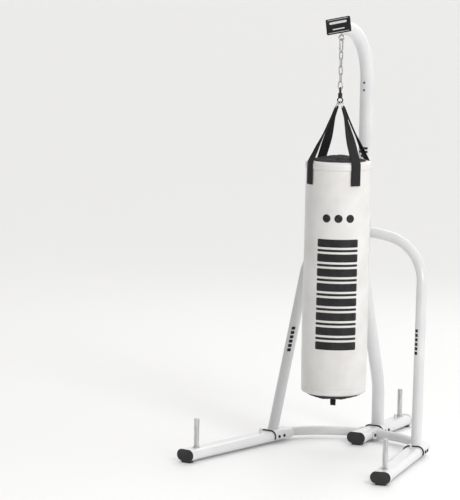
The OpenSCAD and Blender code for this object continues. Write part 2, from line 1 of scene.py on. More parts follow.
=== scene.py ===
"""Looks for the heavy bag on its stand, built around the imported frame. Lengths are in metres."""

import json
import math

import bmesh
import bpy
from mathutils import Matrix, Vector, noise


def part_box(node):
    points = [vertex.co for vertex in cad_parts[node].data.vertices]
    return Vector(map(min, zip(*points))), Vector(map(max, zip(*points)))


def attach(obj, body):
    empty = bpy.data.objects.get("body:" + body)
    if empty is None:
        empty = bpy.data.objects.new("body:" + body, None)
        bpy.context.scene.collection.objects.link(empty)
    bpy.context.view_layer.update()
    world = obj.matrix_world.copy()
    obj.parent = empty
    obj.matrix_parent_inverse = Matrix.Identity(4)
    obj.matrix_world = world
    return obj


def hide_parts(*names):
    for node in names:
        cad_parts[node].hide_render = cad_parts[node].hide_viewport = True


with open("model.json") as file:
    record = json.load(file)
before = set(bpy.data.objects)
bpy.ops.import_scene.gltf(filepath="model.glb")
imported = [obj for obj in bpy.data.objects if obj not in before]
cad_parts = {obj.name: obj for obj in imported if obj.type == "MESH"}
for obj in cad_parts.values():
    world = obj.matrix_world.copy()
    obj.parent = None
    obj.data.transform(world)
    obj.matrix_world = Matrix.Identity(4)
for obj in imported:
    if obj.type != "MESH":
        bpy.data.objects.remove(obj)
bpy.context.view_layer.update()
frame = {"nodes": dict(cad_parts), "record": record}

TAU = 2 * math.pi
MM = 0.001

# The camera, then the way to the room's bright side, the room's light, two lamps and the floor.
CAMERA_PLACE = (5.748, -12.80, 2.686)
CAMERA_FORWARD = (-0.4428, 0.8881, -0.1235)
CAMERA_RIGHT = (0.8937, 0.4482, 0.0194)
CAMERA_LENS = 216
BRIGHT_SIDE = (0.45, 0.78, 0.43)
ROOM_DARK, ROOM_BRIGHT = 0.27, 1.15
KEY_PLACE, KEY_SIZE, KEY_POWER = (4.4, -3.4, 3.9), 1.8, 125
REAR_PLACE, REAR_SIZE, REAR_POWER = (-1.0, 4.5, 3.6), 2.4, 25
LAMP_AIM = (0, 0, 1)
FLOOR_SIZE = 500


# ---- camera, floor and light ----

def add_camera():
    """A long lens from the right of the front, which looks slightly down."""
    camera = bpy.data.objects.new("camera", bpy.data.cameras.new("camera"))
    bpy.context.scene.collection.objects.link(camera)
    camera.data.sensor_width = 36
    camera.data.lens = CAMERA_LENS
    forward = Vector(CAMERA_FORWARD).normalized()
    right = Vector(CAMERA_RIGHT)
    right = (right - forward * right.dot(forward)).normalized()
    up = right.cross(forward)
    turn = Matrix((right, up, -forward)).transposed().to_4x4()
    camera.matrix_world = Matrix.Translation(CAMERA_PLACE) @ turn
    camera.data.clip_end = 400
    bpy.context.scene.camera = camera


def add_world():
    """A white room, brightest behind the object and on its right."""
    world = bpy.data.worlds.new("studio")
    world.use_nodes = True
    nodes, links = world.node_tree.nodes, world.node_tree.links
    direction = nodes.new("ShaderNodeTexCoord").outputs["Generated"]
    side = nodes.new("ShaderNodeVectorMath")
    side.operation = "DOT_PRODUCT"
    side.inputs[1].default_value = BRIGHT_SIDE
    links.new(direction, side.inputs[0])
    strength = nodes.new("ShaderNodeMapRange")
    strength.interpolation_type = "SMOOTHSTEP"
    strength.inputs["From Min"].default_value = -0.9
    strength.inputs["From Max"].default_value = 0.9
    strength.inputs["To Min"].default_value = ROOM_DARK
    strength.inputs["To Max"].default_value = ROOM_BRIGHT
    links.new(side.outputs["Value"], strength.inputs["Value"])
    background = nodes["Background"]
    background.inputs["Color"].default_value = (1, 0.995, 0.985, 1)
    links.new(strength.outputs["Result"], background.inputs["Strength"])
    bpy.context.scene.world = world


def add_area(name, place, size, power):
    """A round lamp that shines at the object's middle."""
    light = bpy.data.objects.new(name, bpy.data.lights.new(name, "AREA"))
    bpy.context.scene.collection.objects.link(light)
    light.data.shape = "DISK"
    light.data.size = size
    light.data.energy = power
    light.location = place
    light.rotation_euler = (Vector(LAMP_AIM) - Vector(place)).to_track_quat("-Z", "Y").to_euler()


def add_studio():
    bpy.context.scene.view_settings.view_transform = "Standard"
    add_world()
    add_area("key", KEY_PLACE, KEY_SIZE, KEY_POWER)
    add_area("rear", REAR_PLACE, REAR_SIZE, REAR_POWER)
    bpy.ops.mesh.primitive_plane_add(size=FLOOR_SIZE, location=(0, 0, 0))
    floor = bpy.context.object
    floor.name = "floor"
    floor.data.materials.append(make_floor_material())


# ---- materials ----

class Shader:
    """A material with helpers for procedural colour, roughness and bump."""

    def __init__(self, name, color, roughness, metallic=0.0, coords="Object"):
        self.material = bpy.data.materials.new(name)
        self.material.use_nodes = True
        self.nodes = self.material.node_tree.nodes
        self.links = self.material.node_tree.links
        self.bsdf = self.nodes["Principled BSDF"]
        self.set("Base Color", (*color, 1))
        self.set("Roughness", roughness)
        self.set("Metallic", metallic)
        self.coords = self.nodes.new("ShaderNodeTexCoord").outputs[coords]
        self.height = None

    def set(self, socket, value):
        self.bsdf.inputs[socket].default_value = value

    def noise(self, scale, detail=3.0, stretch=(1, 1, 1)):
        mapping = self.nodes.new("ShaderNodeMapping")
        mapping.inputs["Scale"].default_value = stretch
        self.links.new(self.coords, mapping.inputs["Vector"])
        texture = self.nodes.new("ShaderNodeTexNoise")
        texture.inputs["Scale"].default_value = scale
        texture.inputs["Detail"].default_value = detail
        self.links.new(mapping.outputs["Vector"], texture.inputs["Vector"])
        return texture.outputs["Fac"]

    def cells(self, scale):
        texture = self.nodes.new("ShaderNodeTexVoronoi")
        texture.inputs["Scale"].default_value = scale
        self.links.new(self.coords, texture.inputs["Vector"])
        return texture.outputs["Distance"]

    def wave(self, scale, direction):
        texture = self.nodes.new("ShaderNodeTexWave")
        texture.bands_direction = direction
        texture.inputs["Scale"].default_value = scale
        self.links.new(self.coords, texture.inputs["Vector"])
        return texture.outputs["Fac"]

    def multiply(self, a, b):
        node = self.nodes.new("ShaderNodeMath")
        node.operation = "MULTIPLY"
        self.links.new(a, node.inputs[0])
        self.links.new(b, node.inputs[1])
        return node.outputs[0]

    def ramp(self, source, stops):
        node = self.nodes.new("ShaderNodeValToRGB")
        first, last = node.color_ramp.elements
        first.position, last.position = stops[0][0], stops[-1][0]
        first.color, last.color = (*stops[0][1], 1), (*stops[-1][1], 1)
        for place, color in stops[1:-1]:
            node.color_ramp.elements.new(place).color = (*color, 1)
        self.links.new(source, node.inputs["Fac"])
        return node.outputs["Color"]

    def vary_color(self, source, low, high, start=0.3, end=0.7):
        color = self.ramp(source, [(start, low), (end, high)])
        self.links.new(color, self.bsdf.inputs["Base Color"])

    def vary_roughness(self, source, low, high):
        node = self.nodes.new("ShaderNodeMapRange")
        node.inputs["To Min"].default_value = low
        node.inputs["To Max"].default_value = high
        self.links.new(source, node.inputs["Value"])
        self.links.new(node.outputs["Result"], self.bsdf.inputs["Roughness"])

    def bump(self, source, strength, distance):
        node = self.nodes.new("ShaderNodeBump")
        node.inputs["Strength"].default_value = strength
        node.inputs["Distance"].default_value = distance
        self.links.new(source, node.inputs["Height"])
        if self.height is not None:
            self.links.new(self.height, node.inputs["Normal"])
        self.height = node.outputs["Normal"]
        self.links.new(self.height, self.bsdf.inputs["Normal"])


def make_floor_material():
    shader = Shader("pale_floor", (0.93, 0.93, 0.93), 0.6)
    shader.vary_roughness(shader.noise(3.0), 0.5, 0.7)
    return shader.material


def powder_coat():
    """Glossy white powder coat: orange peel, slight tone change and a clear coat."""
    shader = Shader("powder_coat", (0.72, 0.72, 0.73), 0.3)
    shader.vary_color(shader.noise(5.0, 4), (0.67, 0.67, 0.685), (0.75, 0.75, 0.755))
    shader.vary_roughness(shader.noise(60.0, 2), 0.24, 0.38)
    shader.bump(shader.noise(650.0, 2), 0.25, 0.15 * MM)
    shader.set("Coat Weight", 0.35)
    shader.set("Coat Roughness", 0.12)
    return shader.material


def moulded_plastic():
    shader = Shader("moulded_plastic", (0.02, 0.02, 0.02), 0.5)
    shader.vary_color(shader.noise(30.0), (0.014, 0.014, 0.015), (0.032, 0.032, 0.033))
    shader.vary_roughness(shader.noise(90.0), 0.42, 0.62)
    shader.bump(shader.cells(1400.0), 0.35, 0.15 * MM)
    return shader.material


def zinc_plate():
    shader = Shader("zinc_plate", (0.5, 0.5, 0.48), 0.3, metallic=1.0)
    shader.vary_color(shader.noise(220.0, 4), (0.36, 0.36, 0.35), (0.66, 0.65, 0.62))
    shader.vary_roughness(shader.noise(400.0, 3), 0.22, 0.42)
    shader.bump(shader.noise(900.0), 0.2, 0.1 * MM)
    return shader.material


def black_oxide():
    shader = Shader("black_oxide", (0.03, 0.03, 0.032), 0.38, metallic=0.85)
    shader.vary_color(shader.noise(300.0, 4), (0.018, 0.018, 0.02), (0.07, 0.07, 0.072))
    shader.vary_roughness(shader.noise(200.0), 0.3, 0.5)
    shader.bump(shader.noise(1100.0), 0.15, 0.1 * MM)
    return shader.material


def satin_enamel():
    shader = Shader("satin_enamel", (0.012, 0.012, 0.012), 0.35)
    shader.vary_roughness(shader.noise(120.0), 0.28, 0.42)
    shader.bump(shader.noise(800.0), 0.15, 0.1 * MM)
    return shader.material


def peg_steel():
    """Satin plated steel with drawn marks round the peg and some wear."""
    shader = Shader("peg_steel", (0.6, 0.6, 0.61), 0.34, metallic=0.9)
    shader.vary_color(shader.noise(90.0, 4, (1, 1, 0.2)), (0.48, 0.48, 0.49), (0.7, 0.7, 0.7))
    shader.vary_roughness(shader.noise(160.0, 3, (1, 1, 6)), 0.24, 0.46)
    shader.bump(shader.noise(300.0, 3, (1, 1, 8)), 0.15, 0.1 * MM)
    return shader.material


def white_vinyl():
    """Coated vinyl: warm off-white with a fine leather grain and broad, soft creases."""
    shader = Shader("white_vinyl", (0.75, 0.74, 0.72), 0.42)
    shader.vary_color(shader.noise(7.0, 4), (0.69, 0.67, 0.64), (0.78, 0.775, 0.76))
    shader.vary_roughness(shader.noise(40.0), 0.34, 0.5)
    shader.bump(shader.cells(620.0), 0.3, 0.25 * MM)
    shader.bump(shader.noise(16.0, 3, (1, 1, 0.35)), 0.25, 1.5 * MM)
    shader.set("Coat Weight", 0.12)
    shader.set("Coat Roughness", 0.3)
    return shader.material


def printed_black():
    """Flexible black ink, a little glossier than the vinyl below it."""
    shader = Shader("printed_black", (0.012, 0.012, 0.013), 0.36)
    shader.vary_color(shader.noise(24.0), (0.009, 0.009, 0.01), (0.022, 0.022, 0.023))
    shader.vary_roughness(shader.noise(50.0), 0.3, 0.44)
    shader.bump(shader.cells(620.0), 0.2, 0.2 * MM)
    shader.set("Specular IOR Level", 0.3)
    return shader.material


def black_canvas():
    """Coated canvas: a fine plain weave with dusty high spots."""
    shader = Shader("black_canvas", (0.016, 0.016, 0.017), 0.72)
    shader.vary_color(shader.noise(26.0, 4), (0.011, 0.011, 0.012), (0.04, 0.04, 0.041))
    weave = shader.multiply(shader.wave(260.0, "X"), shader.wave(260.0, "Y"))
    shader.bump(weave, 0.5, 0.3 * MM)
    shader.set("Specular IOR Level", 0.22)
    return shader.material


def webbing():
    """Woven strap. Its UV map is in metres, across and along the strap."""
    shader = Shader("webbing", (0.015, 0.015, 0.016), 0.66, coords="UV")
    weave = shader.multiply(shader.wave(170.0, "X"), shader.wave(120.0, "Y"))
    color = shader.ramp(weave, [(0.1, (0.008, 0.008, 0.009)), (0.9, (0.04, 0.04, 0.043))])
    shader.links.new(color, shader.bsdf.inputs["Base Color"])
    shader.bump(weave, 0.8, 0.5 * MM)
    shader.set("Specular IOR Level", 0.25)
    return shader.material


def thread(name, low, high):
    shader = Shader(name, high, 0.6)
    shader.vary_color(shader.noise(500.0), low, high)
    shader.bump(shader.noise(2500.0), 0.4, 0.1 * MM)
    return shader.material


# ---- mesh helpers ----

def add_piece(name, verts, faces, material, body, uvs=None, smooth=True):
    """A mesh piece that rides on a body. uvs holds one pair for each vertex."""
    mesh = bpy.data.meshes.new(name)
    mesh.from_pydata([tuple(v) for v in verts], [], faces)
    if uvs:
        layer = mesh.uv_layers.new(name="UVMap")
        for loop in mesh.loops:
            layer.data[loop.index].uv = uvs[loop.vertex_index]
    fix = bmesh.new()
    fix.from_mesh(mesh)
    bmesh.ops.recalc_face_normals(fix, faces=fix.faces)
    fix.to_mesh(mesh)
    fix.free()
    for face in mesh.polygons:
        face.use_smooth = smooth
    mesh.materials.append(material)
    piece = bpy.data.objects.new(name, mesh)
    bpy.context.scene.collection.objects.link(piece)
    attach(piece, body)
    return piece


class Soup:
    """Vertices, faces and UVs gathered from several closed shapes into one piece."""

    def __init__(self):
        self.verts, self.faces, self.uvs = [], [], []

    def add_rings(self, rings, closed=False, uvs=None):
        """Joins rings of points, each a closed loop, and caps both ends unless they are joined."""
        start, count = len(self.verts), len(rings[0])
        for ring in rings:
            self.verts.extend(ring)
        self.uvs.extend(uvs or [(0, 0)] * (count * len(rings)))
        steps = len(rings) if closed else len(rings) - 1
        for i in range(steps):
            a = start + i * count
            b = start + (i + 1) % len(rings) * count
            for j in range(count):
                k = (j + 1) % count
                self.faces.append((a + j, a + k, b + k, b + j))
        if not closed:
            last = start + (len(rings) - 1) * count
            self.faces.append(tuple(range(start + count - 1, start - 1, -1)))
            self.faces.append(tuple(range(last, last + count)))

    def piece(self, name, material, body, slot, smooth=True):
        return add_piece(name, self.verts, self.faces, material, body, self.uvs, smooth)


def circle_ring(centre, across, up, radius, count=10):
    """Points of a circle round centre, in the plane of the unit vectors across and up."""
    return [centre + (across * math.cos(TAU * i / count) + up * math.sin(TAU * i / count)) * radius
            for i in range(count)]


def smooth_step(x):
    x = min(max(x, 0.0), 1.0)
    return x * x * (3 - 2 * x)


# ---- the bag ----

BAG_LOW, BAG_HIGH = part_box("bag_shell")
BAG_AXIS = Vector(((BAG_LOW.x + BAG_HIGH.x) / 2, (BAG_LOW.y + BAG_HIGH.y) / 2, 0))
BAG_R = (BAG_HIGH.x - BAG_LOW.x) / 2
RIM_Z, BOTTOM_Z = BAG_HIGH.z, BAG_LOW.z
BAND_H = RIM_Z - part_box("bag_top_band")[0].z
TOP_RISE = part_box("bag_top_cap")[1].z - RIM_Z
BOTTOM_DROP = BOTTOM_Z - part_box("bag_bottom_cap")[0].z
AROUND = 256
CORNER = 13 * MM
SHOULDER = 8 * MM
HEM_Z = BOTTOM_Z + 30 * MM
HEM_PUCKERS = 72
SEAM_TURN = math.radians(100)

# The band's section, as steps out from the bag's side and up from its rim, in mm.
BAND_OUTSIDE = ((0.7, -28), (1.4, -27.4), (1.8, -25), (1.5, -23), (2.0, -20), (2.1, -13), (1.8, -6),
                (0.9, -1.5), (-1.2, 1.8), (-5, 4.8), (-10, 7), (-16, 8.8), (-21, 9.8), (-24, 9.6))
BAND_INSIDE = ((-25, 8), (-21, 7), (-13, 4), (-6, 0), (-3, -5), (-2.4, -12), (-2.4, -27))


def hem_pucker(angle):
    """How deep the sewn hems gather at this angle, from 0 to 1."""
    return 0.5 + 0.5 * math.sin(angle * HEM_PUCKERS)


def bag_relief(angle, z):
    """How far the vinyl stands in or out of its cylinder: hems, soft dents and a slight sag."""
    share = (z - BOTTOM_Z) / (RIM_Z - BOTTOM_Z)
    swell = 1.6 * MM * math.sin(math.pi * share) - 1.2 * MM
    sag = 1.0 * MM * math.exp(-(((share - 0.2) / 0.14) ** 2))
    at = Vector((math.cos(angle) * 1.6, math.sin(angle) * 1.6, z * 4.2))
    dents = 1.5 * MM * noise.noise(at) + 0.5 * MM * noise.noise(at * 3.1)
    hem = math.exp(-((z - (RIM_Z - BAND_H)) / (3 * MM)) ** 2)
    low_hem = math.exp(-((z - HEM_Z) / (2.5 * MM)) ** 2)
    pinch = (1.1 + 0.5 * hem_pucker(angle)) * MM * (hem + low_hem)
    off_seam = math.remainder(angle - SEAM_TURN, TAU) * BAG_R
    seam = 0.9 * MM * math.exp(-((off_seam / (6 * MM)) ** 2))
    return swell + sag + dents - pinch + seam


def bag_flat_point(angle, z, lift):
    """A point on the plain cylinder of the bag, without its relief."""
    radius = BAG_R + lift
    return BAG_AXIS + Vector((math.cos(angle) * radius, math.sin(angle) * radius, z))


def bag_point(angle, z, lift=0.0):
    """A point on the vinyl, or lift above it."""
    return bag_flat_point(angle, z, bag_relief(angle, z) + lift)


def add_bag_shell(material):
    """One closed skin: the side, a rounded corner at its low end, and hidden ends."""
    levels = 250
    low, high = BOTTOM_Z + CORNER, RIM_Z - 4 * MM

    def ring(z, pull):
        return [bag_point(TAU * j / AROUND, z, -pull) for j in range(AROUND)]

    def hem_ring(turn):
        """A ring of the low corner, where turn goes from 0 at the side to 1 underneath."""
        bend = turn * math.pi / 2
        points = []
        for j in range(AROUND):
            angle = TAU * j / AROUND
            pucker = turn * hem_pucker(angle) * 1.3 * MM
            pull = CORNER * (1 - math.cos(bend)) + pucker * 0.3
            points.append(bag_point(angle, low - CORNER * math.sin(bend) + pucker, -pull))
        return points

    rings = [ring(BOTTOM_Z + 8 * MM, CORNER + 3 * MM), ring(BOTTOM_Z + 2 * MM, CORNER + 2 * MM)]
    rings.extend(hem_ring(turn) for turn in (1.0, 0.85, 0.7, 0.55, 0.4, 0.25, 0.12))
    rings.extend(ring(low + (high - low) * i / levels, 0) for i in range(levels + 1))
    rings.append(ring(RIM_Z - 3 * MM, 3 * MM))
    rings.append(ring(RIM_Z - 6 * MM, 9 * MM))
    soup = Soup()
    soup.add_rings(rings)
    piece = soup.piece("bag_vinyl", material, "bag", "white_vinyl")
    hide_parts("bag_shell")


def add_top_band(material):
    """The folded band round the rim. It rolls in over the shoulder to the black top."""
    rings = []
    for j in range(AROUND):
        angle = TAU * j / AROUND
        wobble = 0.35 * MM * noise.noise(Vector((math.cos(angle) * 9, math.sin(angle) * 9, 4.0)))
        section = []
        for out, up in BAND_OUTSIDE:
            gather = smooth_step((up - 2) / 8) * hem_pucker(angle) * 1.2
            section.append(bag_flat_point(angle, RIM_Z + (up - gather) * MM, out * MM + wobble))
        section.extend(bag_flat_point(angle, RIM_Z + up * MM, out * MM) for out, up in BAND_INSIDE)
        rings.append(section)
    soup = Soup()
    soup.add_rings(rings, closed=True)
    piece = soup.piece("bag_band", material, "bag", "white_vinyl")
    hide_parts("bag_top_band")


def add_end_cap(name, node, material, rim, z0, rise, fullness, seed):
    """A canvas end of radius rim, pushed out by the filling, with gathers that run in from its edge."""
    around, steps, middle, gathers, skirt_h = 192, 36, 0.012, 23, 7 * MM
    side = 1 if rise > 0 else -1
    rings = []
    for i in range(steps + 1):
        share = 1 - i / steps * (1 - middle)
        ring = []
        for j in range(around):
            angle = TAU * j / around
            at = Vector((math.cos(angle) * share * 2.6, math.sin(angle) * share * 2.6, seed))
            height = rise * (1 - share ** fullness)
            gather = math.sin(angle * gathers + 3 * noise.noise(at)) * smooth_step((share - 0.5) / 0.4)
            fade = smooth_step((1 - share) / 0.1)
            fold = 1.5 * gather + 5 * noise.noise(at * 1.3) + 2.2 * noise.noise(at * 3.7)
            height += side * fade * fold * MM
            ring.append(bag_flat_point(angle, z0 + height, rim * share - BAG_R))
        rings.append(ring)
    skirt = [p - Vector((0, 0, side * skirt_h)) for p in rings[0]]
    soup = Soup()
    soup.add_rings([skirt] + rings)
    piece = soup.piece(name, material, "bag", "black_fabric")
    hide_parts(node)


def add_bottom_tab(material):
    """A folded webbing tab under the bag, with a slack loop at its low end."""
    low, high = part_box("bag_bottom_tab")
    half, thick = (high.x - low.x) / 2, 1.3 * MM
    reach = high.z - low.z
    corners = ((-1, -1), (1, -1), (1, 1), (-1, 1))
    rings, uvs, count = [], [], 29
    for i in range(count):
        share = i / (count - 1)
        turn = TAU / 2 * (share * 2 - 1)
        drop = reach * (1 - abs(share * 2 - 1)) ** 0.8
        shift = 3.2 * MM * math.sin(turn) * min(drop / (reach * 0.1), 1)
        sewn_in = 0 if drop > reach * 0.9 else 3 * MM
        centre = BAG_AXIS + Vector((0, shift, high.z + sewn_in - drop))
        rings.append([centre + Vector((sx * half, sy * thick, 0)) for sx, sy in corners])
        uvs.extend([(-half, share * reach * 2), (half, share * reach * 2)] * 2)
    soup = Soup()
    soup.add_rings(rings, uvs=uvs)
    piece = soup.piece("bottom_tab", material, "bag", "black_webbing", smooth=False)
    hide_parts("bag_bottom_tab")


# ---- the stand's sizes, as its CAD has them ----

ARCH_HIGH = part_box("arch_frame")[1]
ARCH_R = 25 * MM
ARCH_LEAN = math.radians(13.39)
ARCH_LEG_LEAN = math.radians(5.1)
UPRIGHT_R = 30 * MM
BOOM_R = 32.5 * MM
LEG_SPLAY = math.radians(10)
LEG_Z = 36 * MM
SADDLE_FLAT = 20 * MM
SADDLE_R = 31 * MM
FOOT_Z = LEG_Z + SADDLE_R


# ---- prints ----

# The bag's print: how far below the rim each part starts, and the sizes of its bars and discs.
VIEW_SIDE = math.radians(-63.5)
PRINT_HALF_W = 99 * MM
BARS_DROP, BAR_COUNT, BAR_PITCH, THICK_BAR, THIN_BAR = 345 * MM, 8, 68.4 * MM, 37 * MM, 11 * MM
DISC_DROP, DISC_PITCH, DISC_R = 248 * MM, 56 * MM, 19 * MM
INK_LIFT, INK_ROOT = 0.55 * MM, -0.3 * MM

# The tubes' prints: half their turn round the tube, their heights, and the sizes of their bars.
LEG_BAR_TURN, LEG_BAR_COUNT, LEG_BAR_PITCH, LEG_BAR_H = 0.72, 6, 20.5 * MM, 14.5 * MM
LEFT_BARS_Z, RIGHT_BARS_Z = 0.435, 0.475
TUBE_BAR_TURN, TUBE_BAR_COUNT, TUBE_BAR_PITCH, TUBE_BAR_H = 0.75, 2, 17 * MM, 11 * MM
TUBE_BARS_Z = 1.403
TUBE_BAR_CORNER = 2 * MM


def add_patch(soup, point, angle_a, angle_b, z_a, z_b, radius, corner=4 * MM):
    """A thin closed patch with round corners, on a surface that point(angle, z, lift) describes."""
    across, along = 14, 12
    half_w = abs(angle_b - angle_a) * radius / 2
    half_h = abs(z_b - z_a) / 2
    middle = (angle_a + angle_b) / 2
    corner = min(corner, half_w * 0.9, half_h * 0.9)

    def layer(lift):
        rows = []
        for i in range(along + 1):
            v = -half_h + 2 * half_h * i / along
            over = max(abs(v) - (half_h - corner), 0.0)
            width = half_w - corner + math.sqrt(max(corner ** 2 - over ** 2, 0.0))
            rows.append([point(middle + width * (2 * j / across - 1) / radius, (z_a + z_b) / 2 + v, lift)
                         for j in range(across + 1)])
        return rows

    outer, inner = layer(INK_LIFT), layer(INK_ROOT)
    rings = [a + b[::-1] for a, b in zip(outer, inner)]
    soup.add_rings(rings)


def add_bag_print(material):
    """A plain printed pattern: a row of three discs over a tall ladder of thick and thin bars."""
    soup = Soup()
    left, right = VIEW_SIDE - PRINT_HALF_W / BAG_R, VIEW_SIDE + PRINT_HALF_W / BAG_R
    for i in range(BAR_COUNT):
        z = RIM_Z - BARS_DROP - i * BAR_PITCH
        add_patch(soup, bag_point, left, right, z - THICK_BAR, z, BAG_R)
        if i < BAR_COUNT - 1:
            z -= THICK_BAR + (BAR_PITCH - THICK_BAR) / 2
            add_patch(soup, bag_point, left, right, z - THIN_BAR / 2, z + THIN_BAR / 2, BAG_R)
    for i in (-1, 0, 1):
        add_print_disc(soup, VIEW_SIDE + i * DISC_PITCH / BAG_R, RIM_Z - DISC_DROP, DISC_R)
    soup.piece("bag_print", material, "bag", "black_fabric")


def add_print_disc(soup, angle, z, radius):
    """A round printed disc on the bag's side."""
    count, inner, edge_lift = 48, 0.4 * MM, 0.45 * MM
    top = [(radius, edge_lift), (radius / 2, INK_LIFT), (inner, INK_LIFT)]
    profile = top + [(inner, INK_ROOT), (radius, INK_ROOT)]
    rings = []
    for i in range(count):
        a = TAU * i / count
        section = []
        for size, lift in profile:
            at = angle + math.cos(a) * size / BAG_R
            section.append(bag_point(at, z + math.sin(a) * size, lift))
        rings.append(section)
    soup.add_rings(rings, closed=True)


def tube_point_maker(foot, head, radius):
    """point(angle, z, lift) on a straight tube that runs from foot to head."""
    def point(angle, z, lift):
        share = (z - foot.z) / (head.z - foot.z)
        centre = foot.lerp(head, share)
        return centre + Vector((math.cos(angle), math.sin(angle), 0)) * (radius + lift)
    return point


def arch_leg_axis(side, z):
    """The centre of an arch leg at height z, from where the leg leaves its saddle."""
    foot_x = ARCH_HIGH.x - ARCH_R / math.cos(ARCH_LEG_LEAN)
    rise = (z - FOOT_Z) / math.cos(ARCH_LEAN)
    x = side * (foot_x - rise * math.tan(ARCH_LEG_LEAN))
    crown_y = ARCH_HIGH.y - ARCH_R
    crown_z = ARCH_HIGH.z - ARCH_R
    return Vector((x, crown_y - (crown_z - z) * math.tan(ARCH_LEAN), z))


def add_tube_prints(material):
    """Short stacks of black bars on the fronts of the arch legs and the upper tube."""
    front = math.radians(-90)
    left, right = front - LEG_BAR_TURN, front + LEG_BAR_TURN
    for side, name, start in ((-1, "left_leg_print", LEFT_BARS_Z), (1, "right_leg_print", RIGHT_BARS_Z)):
        soup = Soup()
        point = tube_point_maker(arch_leg_axis(side, 0.3), arch_leg_axis(side, 0.7), ARCH_R)
        for i in range(LEG_BAR_COUNT):
            z = start + i * LEG_BAR_PITCH
            add_patch(soup, point, left, right, z, z + LEG_BAR_H, ARCH_R, TUBE_BAR_CORNER)
        soup.piece(name, material, "stand", "black_plate")
    left, right = front - TUBE_BAR_TURN, front + TUBE_BAR_TURN
    foot = Vector((0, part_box("upper_boom")[1].y - BOOM_R, 1.2))
    soup = Soup()
    point = tube_point_maker(foot, foot + Vector((0, 0, 0.5)), BOOM_R)
    for i in range(TUBE_BAR_COUNT):
        z = TUBE_BARS_Z + i * TUBE_BAR_PITCH
        add_patch(soup, point, left, right, z, z + TUBE_BAR_H, BOOM_R, TUBE_BAR_CORNER)
    soup.piece("upper_tube_print", material, "stand", "black_plate")


# ---- straps ----

STRAP_TURN = math.radians(11)
RING_TILT = math.radians(22)
RING_WIRE = 2.5 * MM
TAIL_H = 100 * MM
STRAP_W = 50 * MM
FOLDED_W = 12.2 * MM
OVERLAP = 62 * MM

# How many points each stretch of a strap's path has.
OVERLAP_POINTS, WRAP_POINTS, RUN_POINTS, TURN_POINTS, TAIL_POINTS = 7, 11, 31, 5, 15
RUN_START = OVERLAP_POINTS + WRAP_POINTS
RUN_END = RUN_START + RUN_POINTS - 1


def strap_path(ring, rim, radial):
    """A strap's centre points, each with the way its face looks. The strap comes up behind its own run,
    goes round the ring, runs down to the rim and turns down the bag's side."""
    down = (rim - ring).normalized()
    face = down.cross(Vector((-radial.y, radial.x, 0))).normalized()
    if face.z < 0:
        face = -face
    wrap = RING_WIRE + 1.9 * MM
    points = []
    for i in range(OVERLAP_POINTS):
        left = 1 - i / (OVERLAP_POINTS - 1)
        points.append((ring + down * (OVERLAP * left + 1 * MM) - face * (wrap - 1 * MM * left), -face))
    for i in range(1, WRAP_POINTS + 1):
        a = math.pi * i / (WRAP_POINTS + 1)
        spoke = -face * math.cos(a) - down * math.sin(a)
        points.append((ring + spoke * wrap, spoke))
    run_start = ring + face * wrap
    run_end = rim + face * 1.3 * MM
    for i in range(RUN_POINTS):
        share = i / (RUN_POINTS - 1)
        point = run_start.lerp(run_end, share)
        slack = 2.5 * MM * math.sin(math.pi * share)
        settle = face * (wrap - 2.6 * MM) * smooth_step(share * 6) * (1 - smooth_step(share * 1.2))
        points.append((point - face * slack - settle, face))
    for i in range(1, TURN_POINTS + 1):
        share = i / (TURN_POINTS + 1)
        turned = (face * (1 - share) + radial * share).normalized()
        points.append((rim + turned * 1.5 * MM - Vector((0, 0, 0.8 * MM * i)), turned))
    for i in range(TAIL_POINTS):
        drop = 5 * MM + (TAIL_H - 6 * MM) * i / (TAIL_POINTS - 1)
        points.append((rim + radial * 1.6 * MM - Vector((0, 0, drop)), radial))
    return points


def distances_along(points):
    """How far along the path each of its points lies."""
    steps = [0.0]
    for before, after in zip(points, points[1:]):
        steps.append(steps[-1] + (after - before).length)
    return steps


def fall_away(x):
    """How far the bag's side falls away at a distance x from where a flat strip touches it."""
    return BAG_R - math.sqrt(BAG_R ** 2 - x ** 2)


